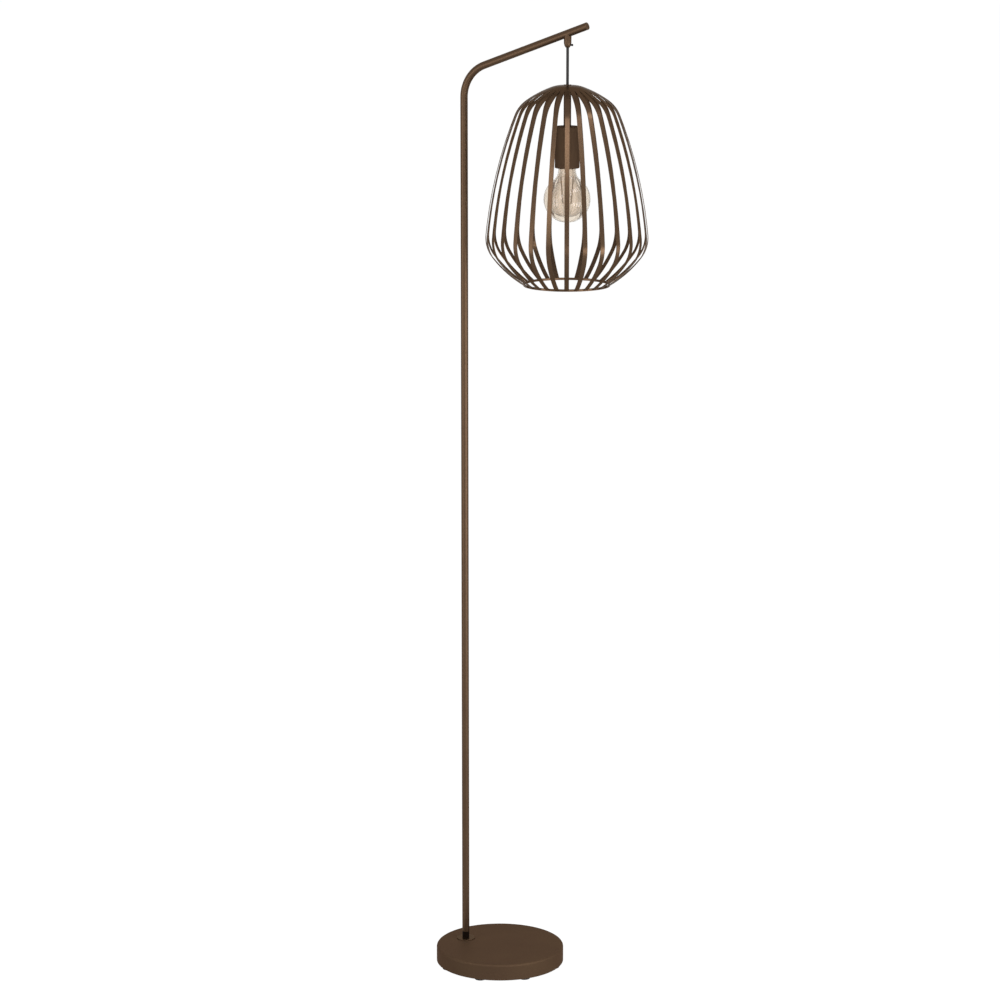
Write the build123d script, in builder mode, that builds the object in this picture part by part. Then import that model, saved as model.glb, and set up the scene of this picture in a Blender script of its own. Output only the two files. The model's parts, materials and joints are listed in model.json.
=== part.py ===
"""Floor lamp: weighted round base, slim bent pole, and a caged shade hanging on a short flex.

Millimetres, +Z up. The arm points along +X. The origin is on the floor, under the middle of the lamp.
"""

import os
from math import acos, cos, degrees, radians, sin, tan

from build123d import *

os.makedirs("parts", exist_ok=True)

# Base
base_d = 230.0
shell_h = 29.3
shell_wall = 1.2
shell_edge_r = 4.0
plate_t = 1.2
plate_gap = 0.3
weight_t = 15.0
weight_gap = 8.0
boss_d = 40.0
foot_d = 20.0
foot_h = 3.0
foot_count = 8
foot_turn = 7.0
foot_margin = 1.6
foot_edge = 0.6

# Flex and its way into the base
cable_d = 4.8
cable_gap = 1.1
inlet_z = 9.0
inlet_wall = 1.2
inlet_lip = 1.5
inlet_lip_t = 1.0
inlet_bend_r = 12.0

# Pole
tube_d = 13.0
tube_wall = 1.0
pole_offset = 70.0
corner_z = 1605.8
joint_z = 800.0
collar_h = 12.0
collar_step = 0.25
flange_d = 33.0
flange_t = 1.5
flange_edge = 0.5
thread_gap = 0.1
nipple_wall = 1.7
nipple_grip = 25.0
nut_across = 17.0
nut_t = 2.2
coupler_l = 40.0

# Arm and hanger
arm_rise = 20.2
arm_l = 252.5
bend_r = 60.0
cap_t = 1.6
cap_edge_r = 1.0
cap_plug_l = 9.0
cap_wall = 1.2
hang_inset = 40.2
hanger_d = 13.0
hanger_drop = 23.9
hanger_tip_d = 6.6
hanger_dome_h = 9.0
hanger_bend_r = 6.0
screw_d = 3.0
screw_gap = 0.1
screw_up = 4.6
screw_head_d = 3.8
screw_head_l = 2.0
screw_reach = 9.8

# Free flex between the hanger and the shade
cable_drop = 62.5
bend_gap = 0.2

# Shade: each rib is a flat bar, bent as a chain of arcs given by outer radius and angle
rib_count = 28
rib_w = 8.0
rib_t = 1.2
crown_bend_r = 197.9
crown_bend_turn = 13.55
shoulder_bend_r = 56.7
shoulder_bend_turn = 33.88
side_bend_r = 761.0
side_bend_turn = 15.96
belly_bend_r = 55.7
belly_bend_turn = 44.0
foot_bend_r = 200.8
foot_bend_turn = 20.86
hub_t = 2.0
hub_seat_r = 8.9
dome_r = 54.7
crown_slope = 21.0
rib_seat_r = 36.5
hub_skirt_r = 42.5
ring_h = 4.2
ring_drop = 0.7
ring_t = 2.0
ring_lap = 1.5
hub_nut_d = 13.0
hub_nut_t = 1.0
hub_nut_edge = 0.3

# Stem and lampholder
rod_d = 10.0
rod_wall = 1.8
stem_d = 13.0
stem_l = 68.1
cover_d = 42.6
cover_h = 71.4
cover_wall = 1.0
cover_edge_r = 1.2
cover_lip_r = 1.4
holder_neck_d = 18.0
holder_neck_h = 11.0
holder_shoulder_h = 8.0
holder_wall = 2.6
holder_recess = 3.3
rod_grip = 12.0
thread_shell_t = 0.6
thread_shell_gap = 0.2
contact_d = 11.0
contact_t = 0.8
contact_h = 5.0
contact_strip_w = 6.0

# Bulb
cap_d = 26.0
cap_gap = 0.4
cap_skirt_h = 22.0
cap_cone_h = 3.0
eyelet_d = 9.0
eyelet_h = 2.0
eyelet_gap = 0.3
cap_inset = 2.8
cap_sheet_t = 0.8
globe_d = 81.0
globe_drop = 53.8
glass_t = 1.0
neck_d = 30.6
neck_down = 4.6
tuck_h = 5.0
tuck_gap = 0.2
inner_d = 59.0
inner_neck_d = 26.0
inner_flare = 22.0
inner_waist_drop = 6.0
inner_bowl_edge = 9.0
inner_bottom_gap = 10.0
mount_d = 5.0
filament_count = 4
filament_d = 2.0
filament_top_r = 10.6
filament_top_drop = 15.4
filament_foot_r = 7.2
filament_l = 46.0
filament_phase = 25.714
wire_d = 0.8
wire_gap = 0.1


def lathe_plane(axis_x, z=0.0):
    """Upright plane through a vertical axis: sketch x is the radius and sketch y the height."""
    return Plane((axis_x, 0, z), x_dir=(1, 0, 0), z_dir=(0, -1, 0))


def upright(axis_x):
    """Vertical axis at a place along the arm."""
    return Axis((axis_x, 0, 0), (0, 0, 1))


def heading(angle):
    """Unit vector at an angle from the sketch's x direction."""
    return Vector(cos(radians(angle)), sin(radians(angle)))


# Bends in order from the top, and where the first one leaves the domed crown
rib_bends = (
    (crown_bend_r, crown_bend_turn),
    (shoulder_bend_r, shoulder_bend_turn),
    (side_bend_r, side_bend_turn),
    (belly_bend_r, belly_bend_turn),
    (foot_bend_r, foot_bend_turn),
)
crown_r = hub_seat_r + dome_r * sin(radians(crown_slope))
crown_rise = dome_r - dome_r * cos(radians(crown_slope))


def rib_curve(inset, bends=rib_bends):
    """Side view of a rib, parallel to its outer face and this far inside it, from the edge of the crown."""
    angle = -crown_slope
    point = Vector(crown_r, 0) + heading(angle - 90) * inset
    with BuildLine() as curve:
        for radius, turn in bends:
            arc = JernArc(point, heading(angle), radius - inset, -turn)
            point = arc @ 1
            angle -= turn
    return curve.line


def sheet_face(inset, thickness, bends=rib_bends):
    """Side view of a sheet of this thickness that lies along the ribs, this far inside their outer face."""
    outer = rib_curve(inset, bends)
    inner = rib_curve(inset + thickness, bends)
    with BuildSketch() as face:
        with BuildLine():
            add(outer)
            add(inner)
            Line(outer @ 0, inner @ 0)
            Line(outer @ 1, inner @ 1)
        make_face()
    return face.sketch


def finish(builder, label):
    """Name a finished piece and write it."""
    builder.part.label = label
    export_step(builder.part, f"parts/{label}.step")


# Places that follow from the sizes above
rib_outline = rib_curve(0)
belly_r = rib_outline.bounding_box().max.X
mouth = rib_outline @ 1
ring_r = mouth.X + ring_lap
base_r = base_d / 2
tube_r = tube_d / 2
tube_bore_r = tube_r - tube_wall
cable_r = cable_d / 2
hang_reach = (arm_l - hang_inset) * cos(radians(arm_rise))
base_x = -(hang_reach - pole_offset + belly_r - base_r - inlet_lip_t) / 2
pole_x = base_x - pole_offset
shade_x = pole_x + hang_reach
shell_z = foot_h + shell_h
shell_bore_r = base_r - shell_wall
weight_z = foot_h + plate_t
foot_ring_r = base_r - foot_margin - foot_d / 2
pole_z = shell_z + flange_t + collar_h
nipple_r = tube_bore_r - thread_gap
nipple_bore_r = nipple_r - nipple_wall
passage_w = cable_d + cable_gap
passage_top_z = inlet_z + inlet_bend_r
arm_dir = Vector(cos(radians(arm_rise)), 0, sin(radians(arm_rise)))
arm_start = Vector(pole_x, 0, corner_z)
arm_end = arm_start + arm_dir * (arm_l - cap_t)
hang_z = corner_z + hang_reach * tan(radians(arm_rise))
mouth_z = hang_z - hanger_drop
hub_nut_z = mouth_z - cable_drop - hub_nut_t
shade_z = hub_nut_z - crown_rise
stem_z = hub_nut_z - hub_t
cover_z = stem_z - stem_l
cover_foot_z = cover_z - cover_h
rod_r = rod_d / 2
rod_bore_r = rod_r - rod_wall
holder_z = cover_z - cover_wall
rod_foot_z = holder_z - rod_grip
cap_r = cap_d / 2
thread_bore_r = cap_r + cap_gap
thread_r = thread_bore_r + thread_shell_t
socket_r = thread_r + thread_shell_gap
holder_r = socket_r + holder_wall
holder_foot_z = cover_foot_z + holder_recess
cap_foot_z = cover_foot_z + cap_inset
eyelet_z = cap_foot_z + cap_skirt_h + cap_cone_h + eyelet_h
contact_z = eyelet_z + eyelet_gap
socket_z = contact_z + contact_h
globe_r = globe_d / 2
globe_z = cover_foot_z - globe_drop
neck_r = neck_d / 2
neck_z = cover_foot_z - neck_down


def arm_plane(point):
    """Plane square to the arm at a point on its centre line."""
    return Plane(point, x_dir=(0, 1, 0), z_dir=arm_dir)


# Base: spun cover with a hole for the nipple and one for the flex
with BuildPart() as base_shell:
    with BuildSketch(Plane((base_x, 0, foot_h))):
        Circle(base_r)
    extrude(amount=shell_h)
    fillet(base_shell.faces().sort_by(Axis.Z)[-1].edges(), shell_edge_r)
    offset(amount=-shell_wall, openings=base_shell.faces().sort_by(Axis.Z)[0])
    with BuildSketch(Plane((pole_x, 0, foot_h))):
        Circle(nipple_r + thread_gap)
    extrude(amount=shell_h, mode=Mode.SUBTRACT)
    with BuildSketch(Plane((base_x, 0, inlet_z), x_dir=(0, 1, 0), z_dir=(-1, 0, 0))):
        Circle(passage_w / 2 + inlet_wall)
    extrude(amount=base_r, mode=Mode.SUBTRACT)
finish(base_shell, "base_shell")

# Cast weight: a disc with a boss up to the cover, drilled for the nipple, with a passage for the flex
with BuildPart() as base_weight:
    with BuildSketch(Plane((base_x, 0, weight_z))):
        Circle(shell_bore_r - weight_gap)
    extrude(amount=weight_t)
    with BuildSketch(Plane((pole_x, 0, weight_z))):
        Circle(boss_d / 2)
    extrude(amount=shell_z - shell_wall - weight_z)
    with BuildSketch(Plane((pole_x, 0, weight_z))):
        Circle(nipple_r + thread_gap)
    extrude(amount=shell_h, mode=Mode.SUBTRACT)
    with BuildSketch(Plane((pole_x, 0, weight_z))):
        Rectangle(base_r, passage_w, align=(Align.MAX, Align.CENTER))
    extrude(amount=passage_top_z - cable_d - weight_z, mode=Mode.SUBTRACT)
finish(base_weight, "base_weight")

# Steel plate that closes the base from below
with BuildPart() as base_plate:
    with BuildSketch(Plane((base_x, 0, foot_h))):
        Circle(shell_bore_r - plate_gap)
        with Locations((-pole_offset, 0)):
            Circle(nipple_r + thread_gap, mode=Mode.SUBTRACT)
    extrude(amount=plate_t)
finish(base_plate, "base_plate")

# Rubber pads under the plate, one solid each
with BuildPart() as base_feet:
    with BuildSketch(Plane((base_x, 0, 0))):
        with PolarLocations(foot_ring_r, foot_count, start_angle=foot_turn):
            Circle(foot_d / 2)
    extrude(amount=foot_h)
    chamfer(base_feet.edges().group_by(Axis.Z)[0], foot_edge)
finish(base_feet, "base_feet")

# Rubber grommet where a flex enters the base, with a lip on both sides of the cover's wall
with BuildPart() as cable_inlet:
    inlet_tube_r = passage_w / 2 + inlet_wall
    inlet_lip_r = inlet_tube_r + inlet_lip
    with BuildSketch(Plane((base_x - base_r, 0, inlet_z), x_dir=(0, 1, 0), z_dir=(1, 0, 0))):
        Circle(inlet_tube_r)
    extrude(amount=weight_gap / 2)
    with BuildSketch(Plane((base_x - base_r - inlet_lip_t, 0, inlet_z), x_dir=(0, 1, 0), z_dir=(1, 0, 0))):
        Circle(inlet_lip_r)
    extrude(amount=2 * inlet_lip_t)
    with BuildSketch(Plane((base_x, 0, foot_h))):
        Circle(base_r)
        Circle(shell_bore_r, mode=Mode.SUBTRACT)
    extrude(amount=shell_h, mode=Mode.SUBTRACT)
    with BuildSketch(Plane((base_x - base_r - inlet_lip_t, 0, inlet_z), x_dir=(0, 1, 0), z_dir=(1, 0, 0))):
        Circle(inlet_tube_r)
    extrude(amount=weight_gap / 2)
    with BuildSketch(Plane((base_x - base_r - inlet_lip_t, 0, inlet_z), x_dir=(0, 1, 0), z_dir=(1, 0, 0))):
        Circle(passage_w / 2)
    extrude(amount=weight_gap, mode=Mode.SUBTRACT)
finish(cable_inlet, "cable_inlet")

# Hollow threaded tube that clamps the pole to the base, slotted for the flex
with BuildPart() as base_nipple:
    with BuildSketch(Plane((pole_x, 0, foot_h - nut_t))):
        Circle(nipple_r)
        Circle(nipple_bore_r, mode=Mode.SUBTRACT)
    extrude(amount=pole_z + nipple_grip - foot_h + nut_t)
    with BuildSketch(Plane((pole_x, 0, weight_z + plate_t))):
        Rectangle(tube_d, passage_w, align=(Align.MAX, Align.CENTER))
    extrude(amount=inlet_bend_r, mode=Mode.SUBTRACT)
finish(base_nipple, "base_nipple")

# Low hexagon nut under the plate
with BuildPart() as base_nut:
    with BuildSketch(Plane((pole_x, 0, foot_h - nut_t))):
        RegularPolygon(nut_across / 2, 6, major_radius=False)
        Circle(nipple_r + thread_gap, mode=Mode.SUBTRACT)
    extrude(amount=nut_t)
finish(base_nut, "base_nut")

# Round washer on the base under the pole
with BuildPart() as pole_flange:
    with BuildSketch(Plane((pole_x, 0, shell_z))):
        Circle(flange_d / 2)
        Circle(nipple_r + thread_gap, mode=Mode.SUBTRACT)
    extrude(amount=flange_t)
    chamfer(pole_flange.edges().group_by(Axis.Z)[-1].sort_by(SortBy.RADIUS)[-1], flange_edge)
finish(pole_flange, "pole_flange")

# Black sleeve at the foot of the pole
with BuildPart() as pole_collar:
    with BuildSketch(Plane((pole_x, 0, shell_z + flange_t))):
        Circle(tube_r - collar_step)
        Circle(nipple_r + thread_gap, mode=Mode.SUBTRACT)
    extrude(amount=collar_h)
finish(pole_collar, "pole_collar")

# Lower length of the pole
with BuildPart() as pole_lower:
    with BuildSketch(Plane((pole_x, 0, pole_z))):
        Circle(tube_r)
        Circle(tube_bore_r, mode=Mode.SUBTRACT)
    extrude(amount=joint_z - pole_z)
finish(pole_lower, "pole_lower")

# Threaded sleeve that joins the two lengths inside
with BuildPart() as pole_coupler:
    with BuildSketch(Plane((pole_x, 0, joint_z - coupler_l / 2))):
        Circle(nipple_r)
        Circle(nipple_bore_r, mode=Mode.SUBTRACT)
    extrude(amount=coupler_l)
finish(pole_coupler, "pole_coupler")

# Upper length of the pole, bent over into the arm, with a hole where the hanger meets it
with BuildPart() as pole_arm:
    with BuildLine():
        FilletPolyline((pole_x, 0, joint_z), arm_start, arm_end, radius=bend_r)
    with BuildSketch(Plane((pole_x, 0, joint_z))):
        Circle(tube_r)
        Circle(tube_bore_r, mode=Mode.SUBTRACT)
    sweep()
    with BuildSketch(Plane((shade_x, 0, hang_z - hanger_drop))):
        Circle(passage_w / 2)
    extrude(amount=hanger_drop, mode=Mode.SUBTRACT)
finish(pole_arm, "pole_arm")

# Push-in cap at the arm's end
with BuildPart() as arm_end_cap:
    with BuildSketch(arm_plane(arm_end)):
        Circle(tube_r)
    extrude(amount=cap_t)
    fillet(arm_end_cap.faces().sort_by(Axis(arm_end, arm_dir))[-1].edges(), cap_edge_r)
    with BuildSketch(arm_plane(arm_end)):
        Circle(tube_bore_r - thread_gap)
        Circle(tube_bore_r - thread_gap - cap_wall, mode=Mode.SUBTRACT)
    extrude(amount=-cap_plug_l)
finish(arm_end_cap, "arm_end_cap")

# Hanger under the arm: a turned stub with a domed end, saddled to the tube, bored for the flex
with BuildPart() as hanger:
    with BuildSketch(lathe_plane(shade_x, mouth_z)):
        with BuildLine():
            tip = Line((0, 0), (hanger_tip_d / 2, 0))
            dome = TangentArc((hanger_d / 2, hanger_dome_h), tip @ 1, tangent=(0, -1))
            Line(dome @ 0, (hanger_d / 2, hanger_drop))
            Line((hanger_d / 2, hanger_drop), (0, hanger_drop))
            Line((0, hanger_drop), (0, 0))
        make_face()
    revolve(axis=upright(shade_x))
    with BuildSketch(arm_plane((shade_x, 0, hang_z))):
        Circle(tube_r)
    extrude(amount=hanger_d, both=True, mode=Mode.SUBTRACT)
    with BuildSketch(Plane((shade_x, 0, mouth_z))):
        Circle(passage_w / 2)
    extrude(amount=hanger_drop, mode=Mode.SUBTRACT)
    with BuildSketch(Plane((shade_x, 0, mouth_z + screw_up), x_dir=(0, 1, 0), z_dir=(1, 0, 0))):
        Circle(screw_d / 2 + screw_gap)
    extrude(amount=hanger_d, mode=Mode.SUBTRACT)
finish(hanger, "hanger")

# Screw in the hanger's side that bears on the flex
with BuildPart() as grip_screw:
    with BuildSketch(Plane((shade_x + cable_r, 0, mouth_z + screw_up), x_dir=(0, 1, 0), z_dir=(1, 0, 0))):
        Circle(screw_d / 2)
    extrude(amount=screw_reach - cable_r)
    head_x = shade_x + screw_reach - screw_head_l
    with BuildSketch(Plane((head_x, 0, mouth_z + screw_up), x_dir=(0, 1, 0), z_dir=(1, 0, 0))):
        Circle(screw_head_d / 2)
    extrude(amount=screw_head_l)
finish(grip_screw, "grip_screw")

# Flex inside the lamp: in at the base, up the pole, along the arm and down into the hanger
with BuildPart() as supply_cable:
    with BuildLine():
        FilletPolyline(
            (base_x - base_r, 0, inlet_z),
            (pole_x, 0, inlet_z),
            (pole_x, 0, corner_z),
            (shade_x, 0, hang_z),
            (shade_x, 0, mouth_z + cable_r + bend_gap),
            radius=[inlet_bend_r, bend_r, hanger_bend_r],
        )
    with BuildSketch(Plane((base_x - base_r, 0, inlet_z), x_dir=(0, 1, 0), z_dir=(1, 0, 0))):
        Circle(cable_r)
    sweep()
finish(supply_cable, "supply_cable")

# Short stretch of flex that bends where it leaves the hanger
with BuildPart() as cable_bend:
    with Locations((shade_x, 0, mouth_z)):
        Sphere(cable_r)
finish(cable_bend, "cable_bend")

# Free flex, pulled straight by the shade
with BuildPart() as pendant_cable:
    with BuildSketch(Plane((shade_x, 0, hub_nut_z + hub_nut_t + bend_gap))):
        Circle(cable_r)
    extrude(amount=cable_drop - cable_r - 2 * bend_gap)
finish(pendant_cable, "pendant_cable")

# Ribs of the shade: flat bars bent to one curve, cut square at the hub and at the ring
with BuildSketch() as rib_face:
    add(sheet_face(0, rib_t))
    Rectangle(rib_seat_r, belly_r, align=(Align.MIN, Align.CENTER), mode=Mode.SUBTRACT)
    with Locations((0, mouth.Y)):
        Rectangle(ring_r, belly_r, align=(Align.MIN, Align.CENTER), mode=Mode.SUBTRACT)

for number in range(rib_count):
    turn = radians(360 * number / rib_count)
    rib_plane = Plane(
        (shade_x, 0, shade_z),
        x_dir=(cos(turn), sin(turn), 0),
        z_dir=(sin(turn), -cos(turn), 0),
    )
    with BuildPart() as shade_rib:
        with BuildSketch(rib_plane):
            add(rib_face.sketch)
        extrude(amount=rib_w / 2, both=True)
    finish(shade_rib, f"shade_rib_{number + 1:02d}")

# Pressed hub: a domed crown with a flat seat, and a skirt set down by the ribs' thickness that they lie on
with BuildSketch() as skirt_face:
    add(sheet_face(rib_t, hub_t, rib_bends[:1]))
    Rectangle(hub_skirt_r, hub_skirt_r, align=(Align.MIN, Align.CENTER), mode=Mode.INTERSECT)
    Rectangle(rib_seat_r - hub_t, hub_skirt_r, align=(Align.MIN, Align.CENTER), mode=Mode.SUBTRACT)

with BuildPart() as shade_hub:
    with BuildSketch(lathe_plane(shade_x, shade_z)):
        with BuildLine():
            seat = Line((rod_r + thread_gap, crown_rise), (hub_seat_r, crown_rise))
            dome = JernArc(seat @ 1, (1, 0), dome_r, -crown_slope)
            JernArc(dome @ 1, dome % 1, crown_bend_r, -crown_bend_turn)
            offset(amount=hub_t, side=Side.RIGHT)
        make_face()
        Rectangle(rib_seat_r, crown_r, align=(Align.MIN, Align.CENTER), mode=Mode.INTERSECT)
        add(skirt_face.sketch)
    revolve(axis=upright(shade_x))
finish(shade_hub, "shade_hub")

# Ring that the ribs' lower ends butt against
with BuildPart() as shade_ring:
    with BuildSketch(Plane((shade_x, 0, shade_z + mouth.Y - ring_drop))):
        Circle(ring_r)
        Circle(ring_r - ring_t, mode=Mode.SUBTRACT)
    extrude(amount=ring_h)
finish(shade_ring, "shade_ring")

# Low round nut on the hub
with BuildPart() as hub_nut:
    with BuildSketch(Plane((shade_x, 0, hub_nut_z))):
        Circle(hub_nut_d / 2)
        Circle(rod_r + thread_gap, mode=Mode.SUBTRACT)
    extrude(amount=hub_nut_t)
    chamfer(hub_nut.edges().group_by(Axis.Z)[-1].sort_by(SortBy.RADIUS)[-1], hub_nut_edge)
finish(hub_nut, "hub_nut")

# Hollow threaded rod that clamps the hub, the stem and the lampholder together
with BuildPart() as stem_rod:
    with BuildSketch(Plane((shade_x, 0, rod_foot_z))):
        Circle(rod_r)
        Circle(rod_bore_r, mode=Mode.SUBTRACT)
    extrude(amount=hub_nut_z + hub_nut_t - rod_foot_z)
finish(stem_rod, "stem_rod")

# Stem: a plain tube over the rod
with BuildPart() as stem:
    with BuildSketch(Plane((shade_x, 0, cover_z))):
        Circle(stem_d / 2)
        Circle(rod_r + thread_gap, mode=Mode.SUBTRACT)
    extrude(amount=stem_l)
finish(stem, "stem")

# Flex inside the rod, down to the lampholder
with BuildPart() as stem_cable:
    with BuildSketch(Plane((shade_x, 0, rod_foot_z))):
        Circle(cable_r)
    extrude(amount=hub_nut_z + hub_nut_t - rod_foot_z)
finish(stem_cable, "stem_cable")

# Lampholder cover: a drawn cup with its rim rolled in
with BuildPart() as holder_cover:
    with BuildSketch(lathe_plane(shade_x)):
        with BuildLine():
            crown = Line((rod_r + thread_gap, cover_z), (cover_d / 2 - cover_edge_r, cover_z))
            edge = JernArc(crown @ 1, (1, 0), cover_edge_r, -90)
            side = Line(edge @ 1, (cover_d / 2, cover_foot_z + cover_lip_r))
            JernArc(side @ 1, (0, -1), cover_lip_r, -90)
            offset(amount=cover_wall, side=Side.RIGHT)
        make_face()
    revolve(axis=upright(shade_x))
finish(holder_cover, "holder_cover")

# Moulded lampholder: a neck on the rod, a rounded shoulder, and an open socket below
with BuildPart() as lampholder_body:
    with BuildSketch(lathe_plane(shade_x)):
        with BuildLine():
            neck_foot = (holder_neck_d / 2, holder_z - holder_neck_h)
            shoulder = (holder_r, holder_z - holder_neck_h - holder_shoulder_h)
            Polyline((0, holder_z), (holder_neck_d / 2, holder_z), neck_foot)
            TangentArc(shoulder, neck_foot, tangent=(0, 1))
            Polyline(shoulder, (holder_r, holder_foot_z), (0, holder_foot_z), (0, holder_z))
        make_face()
        with Locations((0, holder_z)):
            Rectangle(rod_r + thread_gap, rod_grip, align=(Align.MIN, Align.MAX), mode=Mode.SUBTRACT)
        with Locations((0, holder_foot_z)):
            Rectangle(socket_r, socket_z - holder_foot_z, align=(Align.MIN, Align.MIN), mode=Mode.SUBTRACT)
            Rectangle(cable_r, holder_z - holder_foot_z, align=(Align.MIN, Align.MIN), mode=Mode.SUBTRACT)
    revolve(axis=upright(shade_x))
finish(lampholder_body, "lampholder_body")

# Thin metal shell in the socket that takes the bulb's thread
with BuildPart() as screw_shell:
    with BuildSketch(Plane((shade_x, 0, holder_foot_z + thread_shell_t))):
        Circle(thread_r)
        Circle(thread_bore_r, mode=Mode.SUBTRACT)
    extrude(amount=socket_z - holder_foot_z - thread_shell_t)
finish(screw_shell, "screw_shell")

# Sprung contact: a round foot on the socket's floor and a strip that bears on the bulb
with BuildPart() as centre_contact:
    with BuildSketch(Plane((shade_x, 0, socket_z - contact_t))):
        Circle(contact_d / 2)
    extrude(amount=contact_t)
    with BuildSketch(lathe_plane(shade_x, contact_z)):
        with BuildLine():
            Polyline(
                (-contact_d / 2, contact_h),
                (contact_d / 2 - contact_t, contact_t),
                (contact_d / 2 - contact_t, 0),
                (-contact_t, 0),
                (-contact_d / 2, contact_h - contact_t),
                close=True,
            )
        make_face()
    extrude(amount=contact_strip_w / 2, both=True)
finish(centre_contact, "centre_contact")

# Bulb: outer globe, whose neck flares into the ball by an arc tangent to both
flare_rise = neck_z - globe_z
flare_r = (neck_r**2 + flare_rise**2 - globe_r**2) / (2 * (globe_r - neck_r))
flare_angle = degrees(acos((neck_r + flare_r) / (globe_r + flare_r)))
tuck_r = cap_r - cap_sheet_t - tuck_gap

with BuildPart() as bulb_globe:
    with BuildSketch(lathe_plane(shade_x)):
        with BuildLine():
            rim = Line((tuck_r, cap_foot_z + tuck_h), (tuck_r, cap_foot_z))
            hip = Line(rim @ 1, (neck_r, cover_foot_z))
            collar = Line(hip @ 1, (neck_r, neck_z))
            flare = JernArc(collar @ 1, (0, -1), flare_r, flare_angle)
            JernArc(flare @ 1, flare % 1, globe_r, -90 - flare_angle)
            offset(amount=glass_t, side=Side.RIGHT)
        make_face()
    revolve(axis=upright(shade_x))
finish(bulb_globe, "bulb_globe")

# Inner envelope: a tinted drop with a flattened bottom, and the glass mount that carries the filaments
tuck_z = cap_foot_z + tuck_h
inner_tuck_r = tuck_r - glass_t - tuck_gap
inner_z = globe_z - globe_r + inner_bottom_gap
mount_r = mount_d / 2
filament_top_z = cover_foot_z - filament_top_drop
filament_foot_z = filament_top_z - filament_l


def drop_face(inset):
    """Half section of the drop, this far inside its outer face: a tuck, a neck, an S curve and a bowl."""
    tuck = inner_tuck_r - inset
    wide = inner_d / 2 - inset
    bottom = inner_z + inset
    throat = Vector(inner_neck_d / 2 - inset, neck_z)
    waist = Vector(wide, globe_z - inner_waist_drop)
    with BuildSketch() as face:
        with BuildLine():
            Polyline((0, tuck_z), (tuck, tuck_z), (tuck, cap_foot_z), throat)
            Bezier(throat, throat - Vector(0, inner_flare), waist + Vector(0, inner_flare), waist)
            Bezier(waist, (wide, bottom + inner_bowl_edge), (wide - inner_bowl_edge, bottom), (0, bottom))
            Line((0, bottom), (0, tuck_z))
        make_face()
    return face.sketch


with BuildPart() as bulb_inner:
    with BuildSketch(lathe_plane(shade_x)):
        add(drop_face(0))
        add(drop_face(glass_t), mode=Mode.SUBTRACT)
    revolve(axis=upright(shade_x))
    with BuildSketch(Plane((shade_x, 0, cap_foot_z))):
        Rectangle(2 * inner_tuck_r - glass_t, mount_d)
    extrude(amount=tuck_h)
    with BuildSketch(Plane((shade_x, 0, filament_foot_z - mount_r))):
        Circle(mount_r)
    extrude(amount=tuck_z - filament_foot_z)
finish(bulb_inner, "bulb_inner")

# Screw cap of the bulb, thread left plain, with its end contact
with BuildPart() as bulb_cap:
    cone_z = cap_foot_z + cap_skirt_h
    eyelet_foot_z = cone_z + cap_cone_h
    with BuildSketch(lathe_plane(shade_x)):
        with BuildLine():
            Polyline(
                (cap_r, cap_foot_z),
                (cap_r, cone_z),
                (eyelet_d / 2, eyelet_foot_z),
                (eyelet_d / 2, eyelet_z),
                (0, eyelet_z),
                (0, eyelet_foot_z - cap_sheet_t),
                (eyelet_d / 2 - cap_sheet_t, eyelet_foot_z - cap_sheet_t),
                (cap_r - cap_sheet_t, cone_z - cap_sheet_t),
                (cap_r - cap_sheet_t, cap_foot_z),
                close=True,
            )
        make_face()
    revolve(axis=upright(shade_x))
finish(bulb_cap, "bulb_cap")

# Filaments: straight rods that lean inwards, each with a wire to the mount at both ends
with BuildPart() as filaments:
    for number in range(filament_count):
        turn = radians(filament_phase + 360 * number / filament_count)
        outward = Vector(cos(turn), sin(turn), 0)
        top = Vector(shade_x, 0, filament_top_z) + outward * filament_top_r
        foot = Vector(shade_x, 0, filament_foot_z) + outward * filament_foot_r
        with BuildSketch(Plane(top, z_dir=foot - top)):
            Circle(filament_d / 2)
        extrude(amount=(foot - top).length)
        for end, reach in ((top, filament_top_r), (foot, filament_foot_r)):
            with BuildSketch(Plane(end, z_dir=-outward)):
                Circle(wire_d / 2)
            extrude(amount=reach - mount_r - wire_gap)
finish(filaments, "filaments")
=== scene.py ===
"""Looks of the floor lamp: finishes, hanging flex, camera and studio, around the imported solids.

Sizes are in millimetres, and become metres where a mesh or a place is handed to Blender.
"""

import json
from math import atan2, cos, pi, radians, sin, tan

import bmesh
import bpy
import numpy as np
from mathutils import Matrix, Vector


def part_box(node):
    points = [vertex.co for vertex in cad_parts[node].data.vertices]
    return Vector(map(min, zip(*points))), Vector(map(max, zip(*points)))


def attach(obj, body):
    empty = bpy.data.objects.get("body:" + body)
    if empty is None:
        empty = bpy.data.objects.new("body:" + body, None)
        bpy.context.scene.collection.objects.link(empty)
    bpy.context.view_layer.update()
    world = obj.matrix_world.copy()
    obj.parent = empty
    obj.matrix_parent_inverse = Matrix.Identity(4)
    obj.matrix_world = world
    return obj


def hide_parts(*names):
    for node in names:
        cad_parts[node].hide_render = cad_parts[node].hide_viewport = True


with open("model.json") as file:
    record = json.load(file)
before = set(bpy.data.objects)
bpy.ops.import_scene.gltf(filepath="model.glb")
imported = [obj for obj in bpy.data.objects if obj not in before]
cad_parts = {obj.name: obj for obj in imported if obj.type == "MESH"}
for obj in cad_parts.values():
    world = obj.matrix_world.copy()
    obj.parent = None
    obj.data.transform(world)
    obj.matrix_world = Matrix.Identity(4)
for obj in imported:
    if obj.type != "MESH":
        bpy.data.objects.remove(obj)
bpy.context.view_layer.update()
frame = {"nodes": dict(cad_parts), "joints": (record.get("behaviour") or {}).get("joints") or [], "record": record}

MM = 0.001
UP = np.array((0.0, 0.0, 1.0))
SIDE = np.array((1.0, 0.0, 0.0))
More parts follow.
